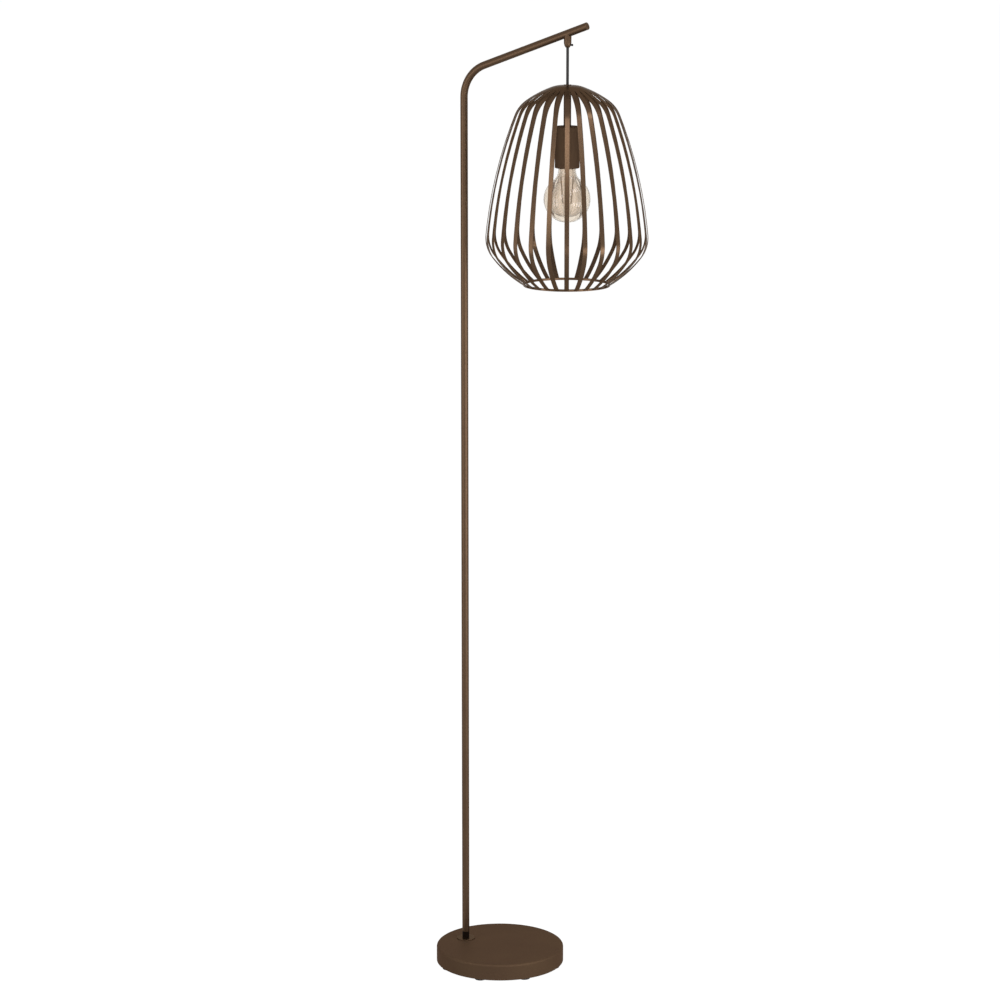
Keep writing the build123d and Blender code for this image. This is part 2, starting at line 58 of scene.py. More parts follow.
ACROSS = np.array((0.0, 1.0, 0.0))
NEAR_ZERO = 0.001
MERGE_GAP = 1e-6
WHITE = (1, 1, 1, 1)

# Sizes of the tube, the arm and the hanger
tube_wall = 1.0
tube_end_round = 0.25
corner_z = 1605.8
arm_rise = radians(20.2)
arm_l = 252.5
bend_r = 60.0
end_cap_t = 1.6
end_cap_round = 1.0
hanger_tip_d = 6.6
hanger_bore_d = 5.9
hanger_dome_h = 9.0
hanger_lip_h = 0.4
hanger_lip_w = 0.15
flex_d = 4.8

# Sizes of the screw that grips the flex
screw_shank_r = 1.5
screw_head_l = 2.0
screw_socket_r = 0.9
screw_tip_round = 0.3
screw_back_round = 0.2
screw_front_round = 0.4
screw_socket_round = 0.1

# Sizes of the base
shell_wall = 1.2
shell_edge_r = 4.0
shell_hem_r = 0.5
washer_edge_r = 0.5
grommet_bore_d = 5.9
grommet_tube_d = 8.3
grommet_lip_t = 1.0
grommet_end_round = 0.3
grommet_nose_round = 0.5
grommet_lip_round = 0.2

# Sizes of the shade: the bars follow a chain of arcs, each an outer radius and a turn
bar_w = 8.0
bar_t = 1.2
bar_edge_r = 0.2
bar_bends = (
    (197.9, radians(13.55)),
    (56.7, radians(33.88)),
    (761.0, radians(15.96)),
    (55.7, radians(44.0)),
    (200.8, radians(20.86)),
)
hub_t = 2.0
hub_seat_r = 8.9
dome_r = 54.7
crown_slope = radians(21.0)
crown_r = hub_seat_r + dome_r * sin(crown_slope)
crown_rise = dome_r - dome_r * cos(crown_slope)
crown_join = 0.5
bar_seat_r = 36.5
seat_edge_w = 0.2
seat_edge_h = 0.15
skirt_r = 42.5
skirt_edge = 0.3
hub_bore_r = 5.1
ring_t = 2.0
ring_edge_r = 0.4
nut_edge_r = 0.3

# Sizes of the lampholder and the bulb
cup_wall = 1.0
cup_edge_r = 1.2
cup_lip_r = 1.4
socket_neck_r = 9.0
socket_neck_h = 11.0
socket_shoulder_h = 8.0
socket_bore_r = 14.2
socket_edge_r = 0.8
glass_t = 1.0
globe_tuck_r = 12.0
globe_neck_r = 15.3
globe_neck_down = 4.6
tuck_h = 5.0
drop_tuck_r = 10.8
drop_neck_r = 13.0
drop_flare = 22.0
drop_waist_down = 6.0
drop_bowl_edge = 9.0
mount_r = 2.5
filament_r = 1.0
filament_wire_r = 0.4
filament_top_reach = 10.6
filament_foot_reach = 7.2
filament_count = 4
filament_phase = radians(25.714)

# Fineness of the meshes: points around the pieces, and rows along their curves
turned_steps = 96
base_steps = 192
shade_steps = 168
fitting_steps = 64
tube_steps = 48
small_steps = 32
stick_steps = 16
edge_rows = 5
curve_rows = 24
bend_rows = 29
dome_rows = 12
crown_rows = 8
under_rows = 10
crown_samples = 400
bar_edge_rows = 4
bar_row_turn = radians(2.5)
bar_rows_least = 7
bar_samples = 4001
flare_rows = 16
ball_rows = 72
knuckle_rows = 17
flex_points = 4
flex_bevel_rows = 6

# Flat stretches kept beside a rounded edge
edge_guard = 0.2
nut_guard = 0.1
fine_guard = 0.05
screw_guard = 0.03

# Angles in degrees from which an edge stays sharp
plain_sharp = 40.0
crown_sharp = 30.0
glass_sharp = 60.0

# Coats and glass: the part of a noise that is used, how far the gloss strays, and the fineness of the noises
noise_low = 0.3
noise_high = 0.7
gloss_below = 0.04
gloss_above = 0.06
drift_detail = 4.0
peel_detail = 2.0
glass_ior = 1.5
glass_shine = 0.1
brown = ("#554333", "#513f31")

# Camera, from the photograph's fitted view
camera_turn = radians(26.954)
camera_tilt = radians(11.64818)
camera_away = 5706.53
camera_height = 2032.875
camera_lens = 118.55
camera_sensor = 36.0
camera_sight = 100.0

# Surround and floor of the studio
ambient_level = 0.3
backdrop_level = 1.0
floor_half = 60.0
floor_colour = "#c8c8c8"
floor_glow = 1.22
floor_glow_share = 0.8

# Soft boxes: degrees from the camera, metres away, high, wide and tall, watts, metres up to the aim
soft_boxes = {
    "key_light": (5, 2.6, 3.1, 1.6, 1.0, 23.5, 1.45),
    "high_light": (58, 2.2, 3.5, 2.0, 0.8, 25.0, 1.45),
    "low_light": (-29, 2.8, 2.22, 0.7, 1.0, 10.5, 1.45),
    "right_light": (50, 2.2, 0.6, 2.2, 0.8, 25.0, 0.6),
    "left_light": (-60, 2.2, 0.95, 1.2, 1.3, 13.0, 0.95),
    "front_light": (8, 2.2, 0.75, 0.5, 1.1, 4.3, 0.75),
}


def span(node):
    """Lowest and highest corner of a node, in millimetres."""
    low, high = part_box(node)
    return np.array(low) / MM, np.array(high) / MM


def centre(node):
    """Middle of a node's box, in millimetres."""
    low, high = span(node)
    return (low + high) / 2


def upright(node):
    """Radius, height and lowest level of a node that is round about an upright axis, in millimetres."""
    low, high = span(node)
    return (high[0] - low[0]) / 2, high[2] - low[2], low[2]


def joint_place(name):
    """Where a joint turns, in millimetres."""
    return np.array(next(j["pos_m"] for j in frame["joints"] if j["name"] == name)) / MM


# Places read from the frame
base_x = centre("base_shell")[0]
pole_x = centre("pole_lower")[0]
tube_r = upright("pole_lower")[0]
tube_bore_r = tube_r - tube_wall
joint_z = span("pole_arm")[0][2]
mouth = joint_place("shade_swing")
crown = joint_place("shade_twist")
shade_x = crown[0]
cup_r, cup_h, cup_z = upright("holder_cover")
cap_z = span("bulb_cap")[0][2]

# Course of the bent tube
arm_turn = pi / 2 - arm_rise
bend_reach = bend_r * tan(arm_turn / 2)
tube_rise = corner_z - joint_z - bend_reach
bend_end = tube_rise + bend_r * arm_turn
arm_run = arm_l - end_cap_t - bend_reach


# Meshes
def ring_faces(rows, around, loop, caps):
    """Quads of a grid that closes around, and closes from its last row to its first where loop is set."""
    row = np.arange(rows if loop else rows - 1)[:, None]
    step = np.arange(around)[None, :]
    after = (step + 1) % around
    beyond = (row + 1) % rows
    quads = np.stack(
        (row * around + step, row * around + after, beyond * around + after, beyond * around + step), axis=-1
    )
    faces = quads.reshape(-1, 4).tolist()
    if caps:
        faces.append(list(range(around))[::-1])
        faces.append(list(range((rows - 1) * around, rows * around)))
    return faces


def piece(name, grids, body, finish, *nodes, coat=None, loop=False, caps=False, sharp=plain_sharp):
    """One object from grids of points (rows, around, 3), with doubles merged and faces outwards.

    It is smooth but for sharp edges, and wears its slot's finish, or a coat of its own."""
    points = []
    faces = []
    for grid in grids:
        start = sum(len(p) for p in points)
        rows, around = grid.shape[:2]
        faces += [[start + corner for corner in face] for face in ring_faces(rows, around, loop, caps)]
        points.append(grid.reshape(-1, 3) * MM)
    mesh = bpy.data.meshes.new(name)
    mesh.from_pydata(np.concatenate(points).tolist(), [], faces)
    shape = bmesh.new()
    shape.from_mesh(mesh)
    bmesh.ops.remove_doubles(shape, verts=shape.verts, dist=MERGE_GAP)
    bmesh.ops.recalc_face_normals(shape, faces=shape.faces)
    shape.to_mesh(mesh)
    shape.free()
    mesh.shade_smooth()
    mesh.set_sharp_from_angle(angle=radians(sharp))
    mesh.materials.append(finishes[coat or finish])
    made = bpy.data.objects.new(name, mesh)
    bpy.context.scene.collection.objects.link(made)
    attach(made, body)
    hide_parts(*nodes)
    return made


def turned(rows, foot, along=UP, steps=turned_steps):
    """Surface of revolution, its rows being (r, s):
    point(s, t) = foot + s·along + r(s)·(cos t·side + sin t·across)."""
    rows = np.asarray(rows, float)
    side = np.cross(ACROSS, along)
    side = SIDE if np.linalg.norm(side) < NEAR_ZERO else side / np.linalg.norm(side)
    across = np.cross(along, side)
    turn = np.linspace(0, 2 * pi, steps, endpoint=False)[None, :, None]
    spokes = np.cos(turn) * side + np.sin(turn) * across
    return np.asarray(foot) + rows[:, 1, None, None] * along + rows[:, 0, None, None] * spokes


def spun(name, rows, foot, body, finish, *nodes, along=UP, steps=turned_steps, **looks):
    """One turned piece."""
    return piece(name, [turned(rows, foot, along, steps)], body, finish, *nodes, **looks)


def rounded(corners, steps=edge_rows, guard=edge_guard):
    """Outline through (x, y, radius) corners: each radius becomes an arc tangent to both sides.

    A guard point on each side of the arc keeps the flat stretches flat."""
    corners = [np.array(c, float) for c in corners]
    line = []
    for number, corner in enumerate(corners):
        radius = corner[2]
        if not radius:
            line.append(corner[:2])
            continue
        back = corners[number - 1][:2] - corner[:2]
        ahead = corners[(number + 1) % len(corners)][:2] - corner[:2]
        back /= np.linalg.norm(back)
        ahead /= np.linalg.norm(ahead)
        half = np.arccos(np.clip(back @ ahead, -1, 1)) / 2
        reach = radius / tan(half)
        middle = corner[:2] + (back + ahead) / np.linalg.norm(back + ahead) * radius / sin(half)
        first = corner[:2] + back * reach - middle
        last = corner[:2] + ahead * reach - middle
        sweep = atan2(first[0] * last[1] - first[1] * last[0], first @ last)
        angle = atan2(first[1], first[0]) + np.linspace(0, sweep, steps)
        line.append(corner[:2] + back * (reach + guard))
        line.extend(middle + radius * np.stack((np.cos(angle), np.sin(angle)), axis=1))
        line.append(corner[:2] + ahead * (reach + guard))
    return np.array(line)


def collar(bore_r, outer_r, height, top_round, foot_round=0, guard=edge_guard):
    """Half section of a ring or disc that stands on its foot, with rounded outer edges."""
    return rounded(
        ((bore_r, height, 0), (outer_r, height, top_round), (outer_r, 0, foot_round), (bore_r, 0, 0)),
        guard=guard,
    )


def rod(first, last, radius, steps=stick_steps):
    """Round bar between two points, with its ends rounded off to a small flat."""
    first = np.asarray(first, float)
    length = np.linalg.norm(np.asarray(last) - first)
    edge = radius / 2
    rows = rounded(
        ((0, 0, 0), (radius, 0, edge), (radius, length, edge), (0, length, 0)), guard=edge / 4
    )
    return turned(rows, first, (np.asarray(last) - first) / length, steps)


def bezier(ends):
    """Cubic curve: (1-t)³a + 3(1-t)²t·b + 3(1-t)t²·c + t³d for its four points a, b, c and d."""
    a, b, c, d = (np.array(p, float) for p in ends)
    t = np.linspace(0, 1, curve_rows)[:, None]
    return (1 - t) ** 3 * a + 3 * (1 - t) ** 2 * t * b + 3 * (1 - t) * t**2 * c + t**3 * d


# Finishes
def linear(colour):
    """Linear red, green, blue and alpha of an sRGB hex colour:
    ((c + 0.055) / 1.055) to the power 2.4, or c / 12.92 in the darkest part."""
    parts = np.array([int(colour[i : i + 2], 16) for i in (1, 3, 5)]) / 255
    parts = np.where(parts > 0.04045, ((parts + 0.055) / 1.055) ** 2.4, parts / 12.92)
    return (*parts.tolist(), 1.0)


def add(tree, kind, inputs, **settings):
    """Add one node with its settings; each input is a value, or an output socket to link from."""
    made = tree.nodes.new(kind)
    for name, value in settings.items():
        setattr(made, name, value)
    for name, value in inputs.items():
        if isinstance(value, bpy.types.NodeSocket):
            tree.links.new(value, made.inputs[name])
        else:
            made.inputs[name].default_value = value
    return made


def per_mm(size):
    """Texture scale at which one cell of a pattern is this many millimetres."""
    return 1 / (size * MM)


def new_finish(name):
    """Empty material with its tree, its output node and the object's own coordinates."""
    made = bpy.data.materials.new(name)
    made.use_nodes = True
    made.node_tree.nodes.clear()
    out = add(made.node_tree, "ShaderNodeOutputMaterial", {})
    place = add(made.node_tree, "ShaderNodeTexCoord", {}).outputs["Object"]
    return made, made.node_tree, out, place


def coated(
    name, light, dark, rough,
    metallic=0.0, shine=0.5, tint="#ffffff", cloud=60.0, peel=1.6, peel_depth=0.02,
):
    """Surface with a slow drift of colour, and a fine peel in its gloss and relief."""
    made, tree, out, place = new_finish(name)
    drift = add(
        tree, "ShaderNodeTexNoise", {"Vector": place, "Scale": per_mm(cloud), "Detail": drift_detail}
    )
    fine = add(
        tree, "ShaderNodeTexNoise", {"Vector": place, "Scale": per_mm(peel), "Detail": peel_detail}
    )
    noise_range = {"From Min": noise_low, "From Max": noise_high}
    blend = add(
        tree, "ShaderNodeMapRange",
        {"Value": drift.outputs["Fac"], **noise_range, "To Min": 0.0, "To Max": 1.0},
    )
    colour = add(
        tree, "ShaderNodeMix",
        {"Factor": blend.outputs["Result"], "A": linear(dark), "B": linear(light)}, data_type="RGBA",
    )
    gloss = add(
        tree, "ShaderNodeMapRange",
        {
            "Value": fine.outputs["Fac"],
            **noise_range,
            "To Min": rough - gloss_below,
            "To Max": rough + gloss_above,
        },
    )
    relief = add(
        tree, "ShaderNodeBump", {"Height": fine.outputs["Fac"], "Distance": peel_depth * MM, "Strength": 1.0}
    )
    shader = add(
        tree, "ShaderNodeBsdfPrincipled",
        {
            "Base Color": colour.outputs["Result"],
            "Roughness": gloss.outputs["Result"],
            "Normal": relief.outputs["Normal"],
            "Metallic": metallic,
            "Specular IOR Level": shine,
            "Specular Tint": linear(tint),
        },
    )
    tree.links.new(shader.outputs["BSDF"], out.inputs["Surface"])
    return made


def blown_glass(name, light, rough, wave, detail, depth, strength, dark=None):
    """Glass with the waves of a blown wall, which also streak its colour where a second one is given."""
    made, tree, out, place = new_finish(name)
    waves = add(tree, "ShaderNodeTexNoise", {"Vector": place, "Scale": per_mm(wave), "Detail": detail})
    relief = add(
        tree, "ShaderNodeBump",
        {"Height": waves.outputs["Fac"], "Distance": depth * MM, "Strength": strength},
    )
    colour = linear(light)
    if dark:
        streaks = add(
            tree, "ShaderNodeMix",
            {"Factor": waves.outputs["Fac"], "A": linear(dark), "B": colour}, data_type="RGBA",
        )
        colour = streaks.outputs["Result"]
    shader = add(
        tree, "ShaderNodeBsdfPrincipled",
        {
            "Base Color": colour,
            "Roughness": rough,
            "IOR": glass_ior,
            "Specular IOR Level": glass_shine,
            "Transmission Weight": 1.0,
            "Normal": relief.outputs["Normal"],
        },
    )
    tree.links.new(shader.outputs["BSDF"], out.inputs["Surface"])
    return made


finishes = {
    # Flake-pigmented stove lacquer on pressed steel: satin bronze brown, with the fine peel of a spray
    "brown_lacquer": coated(
        "brown_stove_lacquer", *brown, rough=0.28,
        metallic=0.9, shine=0.0, tint="#c0bcb8", peel_depth=0.002,
    ),
    # The same lacquer on drawn tube: a wider sheen that runs softly round the tube
    "brown_tube_coat": coated(
        "brown_tube_lacquer", *brown, rough=0.39,
        metallic=0.88, shine=0.0, tint="#d4d0cc", peel_depth=0.002,
    ),
    # The same lacquer over a coarser primer, on the base and the holder's cup: duller, with a wider sheen
    "brown_dull_coat": coated(
        "brown_primed_lacquer", *brown, rough=0.55,
        metallic=0.45, shine=0.0, tint="#dbc9c2", peel_depth=0.004,
    ),
    # Black stove lacquer on steel: near black, satin, the same sprayed peel
    "black_lacquer": coated("black_stove_lacquer", "#120a06", "#0d0704", rough=0.45, shine=0.05),
    # Moulded rubber: dull black with a dusty bloom
    "black_rubber": coated(
        "moulded_rubber", "#121110", "#0c0b0b", rough=0.75,
        cloud=12.0, peel=0.7, peel_depth=0.05,
    ),
    # Raw grey iron casting: dark and grainy from the sand
    "cast_iron": coated(
        "sand_cast_iron", "#55534f", "#3a3937", rough=0.7,
        metallic=0.7, cloud=9.0, peel=1.0, peel_depth=0.15,
    ),
    # Zinc plated steel: bright grey with a faint bloom
    "zinc_steel": coated(
        "zinc_plated_steel", "#c9c7c0", "#a9a69d", rough=0.3,
        metallic=1.0, cloud=14.0, peel=0.8, peel_depth=0.01,
    ),
    # Extruded PVC sheath: charcoal, semi-matt
    "flex_pvc": coated(
        "extruded_flex_sheath", "#242322", "#1d1c1b", rough=0.5,
        shine=0.3, cloud=10.0, peel=0.6, peel_depth=0.02,
    ),
    # Phenolic moulding: black, satin
    "black_plastic": coated(
        "phenolic_moulding", "#221e1b", "#191613", rough=0.35,
        cloud=10.0, peel=0.9, peel_depth=0.01,
    ),
    # Drawn brass sheet: warm, lightly dulled
    "brass": coated(
        "drawn_brass", "#d9b36a", "#bf9650", rough=0.3,
        metallic=1.0, cloud=8.0, peel=0.7, peel_depth=0.01,
    ),
    # Blown soda glass: clear, a little warm, with the faint waves of a blown wall
    "clear_glass": blown_glass(
        "clear_blown_glass", "#f5eee4", rough=0.02,
        wave=28.0, detail=1.0, depth=0.25, strength=0.4,
    ),
    # Blown glass with an amber stain: paler and darker streaks, and a slightly hammered wall
    "amber_glass": blown_glass(
        "amber_blown_glass", "#fffcf9", rough=0.15,
        wave=7.0, detail=3.0, depth=0.5, strength=0.6, dark="#fdf6f0",
    ),
    # Phosphor over a filament rod: matt ochre brown, finely grained
    "filament": coated(
        "phosphor_coat", "#b98a55", "#a0733f", rough=0.6,
        cloud=4.0, peel=0.4, peel_depth=0.05,
    ),
}

slot_of = {row["node"]: row["material_slot"] for row in frame["record"]["subparts"]}
for node, shown in frame["nodes"].items():
    shown.data.materials.clear()
    shown.data.materials.append(finishes[slot_of[node]])


# Base
def base():
    """Cover, washer, sleeve and grommet, as turned shapes on their own axes."""
    outer, height, foot_z = upright("base_shell")
    inner = outer - shell_wall
    cover = rounded(
        (
            (0, height, 0),
            (outer, height, shell_edge_r),
            (outer, 0, shell_hem_r),
            (inner, 0, shell_hem_r),
            (inner, height - shell_wall, shell_edge_r - shell_wall),
            (0, height - shell_wall, 0),
        )
    )
    spun(
        "base_cover", cover, (base_x, 0, foot_z), "stand", "brown_lacquer", "base_shell",
        coat="brown_dull_coat", steps=base_steps,
    )
    washer_r, washer_t, foot_z = upright("pole_flange")
    washer = collar(tube_bore_r, washer_r, washer_t, washer_edge_r)
    spun("pole_washer", washer, (pole_x, 0, foot_z), "stand", "brown_lacquer", "pole_flange", loop=True)
    sleeve_r, sleeve_h, foot_z = upright("pole_collar")
    sleeve = collar(tube_bore_r, sleeve_r, sleeve_h, tube_end_round, tube_end_round, tube_end_round)
    spun(
        "pole_sleeve", sleeve, (pole_x, 0, foot_z), "stand", "black_lacquer", "pole_collar",
        steps=tube_steps, loop=True,
    )
    low, high = span("cable_inlet")
    middle = centre("cable_inlet")
    lip_r = (high[1] - low[1]) / 2
    depth = high[0] - low[0]
    bore_r = grommet_bore_d / 2
    neck_r = grommet_tube_d / 2
    lip_half = grommet_lip_t / 2
    wall_end = grommet_lip_t + shell_wall
    grommet = rounded(
        (
            (bore_r, 0, grommet_end_round),
            (neck_r, 0, grommet_nose_round),
            (neck_r, lip_half, 0),
            (lip_r, lip_half, grommet_lip_round),
            (lip_r, grommet_lip_t, 0),
            (neck_r, grommet_lip_t, 0),
            (neck_r, wall_end, 0),
            (lip_r, wall_end, 0),
            (lip_r, wall_end + lip_half, grommet_lip_round),
            (neck_r, wall_end + lip_half, 0),
            (neck_r, depth, grommet_end_round),
            (bore_r, depth, grommet_end_round),
        ),
        guard=fine_guard,
    )
    spun(
        "inlet_grommet", grommet, (low[0], middle[1], middle[2]), "stand", "black_rubber", "cable_inlet",
        along=SIDE, steps=tube_steps, loop=True,
    )


# Pole, arm and hanger
def tube_line(along):
    """Centre of the bent tube and its side direction: straight up, an arc of bend_r, then along the arm."""
    bent = np.clip((along - tube_rise) / bend_r, 0, arm_turn)
    before = np.minimum(along, tube_rise)
    after = np.maximum(along - tube_rise - bend_r * arm_turn, 0)
    x = pole_x + bend_r * (1 - np.cos(bent)) + after * np.sin(bent)
    z = joint_z + before + bend_r * np.sin(bent) + after * np.cos(bent)
    still = np.zeros_like(x)
    return np.stack((x, still, z), axis=1), np.stack((np.cos(bent), still, -np.sin(bent)), axis=1)


def tube_wall_rows(length, stops):
    """Rows (radius, distance) of a tube's wall: up the outside with eased ends, and back down the bore."""
    ease = tube_end_round
    outside = [(tube_r - ease, 0), (tube_r, ease), *((tube_r, s) for s in stops), (tube_r, length - ease)]
    inside = [(tube_bore_r, length), *((tube_bore_r, s) for s in reversed(stops)), (tube_bore_r, 0)]
    return np.array([*outside, (tube_r - ease, length), *inside], float)


def pole():
    """Lower tube, and bent upper tube with its end cap."""
    _, length, foot_z = upright("pole_lower")
    rows = tube_wall_rows(length, [])
    spun(
        "lower_tube", rows, (pole_x, 0, foot_z), "stand", "brown_lacquer", "pole_lower",
        coat="brown_tube_coat", steps=tube_steps, loop=True,
    )
    stops = list(np.linspace(tube_rise, bend_end, bend_rows))
    rows = tube_wall_rows(bend_end + arm_run, stops)
    middle, side = tube_line(rows[:, 1])
    around = np.linspace(0, 2 * pi, tube_steps, endpoint=False)[None, :, None]
    spokes = np.cos(around) * side[:, None, :] + np.sin(around) * ACROSS
    grid = middle[:, None, :] + rows[:, 0, None, None] * spokes
    piece("upper_tube", [grid], "stand", "brown_lacquer", "pole_arm", coat="brown_tube_coat", loop=True)
    arm_dir = cos(arm_rise) * SIDE + sin(arm_rise) * UP
    tip = middle[np.argmax(rows[:, 1])]
    cap = collar(0, tube_r, end_cap_t, end_cap_round, tube_end_round / 2, fine_guard)
    spun(
        "tube_end_cap", cap, tip, "stand", "brown_lacquer", "arm_end_cap",
        along=arm_dir, coat="brown_tube_coat", steps=tube_steps,
    )


def hanger():
    """Turned stub with a domed end, whose top row follows the arm's round underside:
    z = (x·sin(rise) − √(tube_r² − y²)) / cos(rise) about the point where the axes cross."""
    radius, _, foot_z = upright("hanger")
    meet_z = corner_z + (shade_x - pole_x) * tan(arm_rise)
    bore_r = hanger_bore_d / 2
    run = radius - hanger_tip_d / 2
    bow_r = (run**2 + hanger_dome_h**2) / (2 * run)
    swing = np.linspace(0, np.arcsin(hanger_dome_h / bow_r), dome_rows)
    dome = np.stack((radius - bow_r * (1 - np.cos(swing)), hanger_dome_h - bow_r * np.sin(swing)), axis=1)
    lower = [(bore_r, hanger_lip_h), (bore_r + hanger_lip_w, 0.0), *dome[::-1]]
    stub = turned(lower, (shade_x, 0, foot_z), steps=fitting_steps)

    def saddle(ring_r):
        """Ring of this radius laid on the arm's underside."""
        ring = turned([(ring_r, 0)], (shade_x, 0, meet_z), steps=fitting_steps)
        x = ring[..., 0] - shade_x
        sag = np.sqrt(np.maximum(tube_r**2 - ring[..., 1] ** 2, 0))
        ring[..., 2] = meet_z + (x * sin(arm_rise) - sag) / cos(arm_rise)
        return ring

    grid = np.concatenate((stub, saddle(radius), saddle(bore_r)))
    piece("flex_hanger", [grid], "stand", "brown_lacquer", "hanger", coat="brown_tube_coat", loop=True)


def screw():
    """Screw in the hanger's side that grips the flex, with a round hollow in its head."""
    low, high = span("grip_screw")
    head_r = (high[2] - low[2]) / 2
    reach = high[0] - low[0]
    neck = reach - screw_head_l
    hollow = reach - screw_head_l / 2
    rows = rounded(
        (
            (0, 0, 0),
            (screw_shank_r, 0, screw_tip_round),
            (screw_shank_r, neck, 0),
            (head_r, neck, screw_back_round),
            (head_r, reach, screw_front_round),
            (screw_socket_r, reach, screw_socket_round),
            (screw_socket_r, hollow, 0),
            (0, hollow, 0),
        ),
        guard=screw_guard,
    )
    foot = (low[0], 0, (low[2] + high[2]) / 2)
    spun("flex_screw", rows, foot, "stand", "black_lacquer", "grip_screw", along=SIDE, steps=small_steps)


# Shade
def bar_line(turned_by):
    """Outer face of a bar seen from the side, and its outward direction, after each turn.

    On an arc of radius R that starts at p with outward direction n, point = p + R·(n(turn) − n)."""
    starts = np.concatenate(([0], np.cumsum([turn for _, turn in bar_bends])))
    radii = np.array([radius for radius, _ in bar_bends])

    def outward(turn):
        """Outward direction after a turn from the bar's first slope."""
        heading = -crown_slope - turn
        return np.stack((-np.sin(heading), np.cos(heading)), axis=-1)

    joins = [np.array((crown_r, 0.0))]
    for number, radius in enumerate(radii):
        joins.append(joins[-1] + radius * (outward(starts[number + 1]) - outward(starts[number])))
    arc = np.clip(np.searchsorted(starts, turned_by, side="right") - 1, 0, len(radii) - 1)
    normal = outward(turned_by)
    point = np.array(joins)[arc] + radii[arc][..., None] * (normal - outward(starts[arc]))
    return point, normal


def bar_turns():
    """Turns at which a bar gets a row: each arc in steps of a few degrees, with a least number of them."""
    turns = [0.0]
    for _, turn in bar_bends:
        count = max(bar_rows_least, int(turn / bar_row_turn))
        turns.extend(turns[-1] + turn * np.arange(1, count + 1) / count)
    return np.array(turns)


def bars():
    """Flat bars: a rounded rectangle carried along the arcs, cut upright at the hub and at the ring."""
    section = rounded(
        (
            (-bar_w / 2, 0, bar_edge_r),
            (bar_w / 2, 0, bar_edge_r),
            (bar_w / 2, bar_t, bar_edge_r),
            (-bar_w / 2, bar_t, bar_edge_r),
        ),
        steps=bar_edge_rows,
    )
    ring_r = upright("shade_ring")[0]
    whole = sum(turn for _, turn in bar_bends)
    dense = np.linspace(0, whole, bar_samples)
    point, normal = bar_line(dense)
    reach = point[:, 0, None] - section[:, 1] * normal[:, 0, None]
    belly = np.argmax(reach[:, 0])
    first = np.array([np.interp(bar_seat_r, column[:belly], dense[:belly]) for column in reach.T])
    last = np.array([np.interp(-ring_r, -column[belly:], dense[belly:]) for column in reach.T])
    share = (bar_turns() / whole)[:, None]
    turns = first + share * (last - first)
    point, normal = bar_line(turns)
    out = point[..., 0] - section[:, 1] * normal[..., 0]
    height = crown[2] + point[..., 1] - section[:, 1] * normal[..., 1]
    names = sorted(node for node in frame["nodes"] if node.startswith("shade_rib_"))
    for number, node in enumerate(names):
        turn = 2 * pi * number / len(names)
        x = shade_x + out * cos(turn) - section[:, 0] * sin(turn)
        y = out * sin(turn) + section[:, 0] * cos(turn)
        grid = np.stack((x, y, height), axis=-1)
        piece(f"bar_{number + 1:02d}", [grid], "shade", "brown_lacquer", node, caps=True)


def hub():
    """Pressed hub: domed crown with a flat seat, and a skirt set down by the bars' thickness."""
    dense = np.linspace(0, bar_bends[0][1], crown_samples)
    point, normal = bar_line(dense)

    def along(inset, low, high, steps=crown_rows):
        """Stretch of the line this far inside the bars' outer face, between two radii."""
        line = point - inset * normal
        radii = np.linspace(low, high, steps)
        return np.stack((radii, np.interp(radii, line[:, 0], line[:, 1])), axis=1)

    def dome(inset):
        """Flat seat and the arc down from it, this far inside the hub's outer face."""
        lean = np.linspace(0, crown_slope, dome_rows)
        radius = dome_r - inset
        out = hub_seat_r + radius * np.sin(lean)
        level = crown_rise - dome_r + radius * np.cos(lean)
        return np.concatenate(([(hub_bore_r, crown_rise - inset)], np.stack((out, level), axis=1)))

    under_r = bar_seat_r - hub_t
    rows = np.concatenate(
        (
            dome(0),
            along(0, crown_r + crown_join, bar_seat_r - seat_edge_w),
            along(0, bar_seat_r, bar_seat_r, 1) - (0, seat_edge_h),
            along(bar_t, bar_seat_r, skirt_r - skirt_edge),
            along(bar_t, skirt_r, skirt_r, 1) - (0, skirt_edge),
            along(bar_t + hub_t, skirt_r, under_r, under_rows),
            along(hub_t, under_r, crown_r),
            dome(hub_t)[::-1],
        )
    )
    spun(
        "crown", rows, crown, "shade", "brown_lacquer", "shade_hub",
        steps=shade_steps, loop=True, sharp=crown_sharp,
    )
    nut_r, nut_t, foot_z = upright("hub_nut")
    nut = collar(hub_bore_r, nut_r, nut_t, nut_edge_r, guard=nut_guard)
    spun(
        "crown_nut", nut, (shade_x, 0, foot_z), "shade", "brown_lacquer", "hub_nut",
        steps=fitting_steps, loop=True,
    )


def ring():
    """Flat hoop inside the bars' lower ends."""
    outer, height, foot_z = upright("shade_ring")
    rows = rounded(
        (
            (outer, 0, ring_edge_r),
            (outer, height, ring_edge_r),
            (outer - ring_t, height, ring_edge_r),
            (outer - ring_t, 0, ring_edge_r),
        )
    )
    spun(
        "mouth_ring", rows, (shade_x, 0, foot_z), "shade", "brown_lacquer", "shade_ring",
        steps=shade_steps, loop=True,
    )


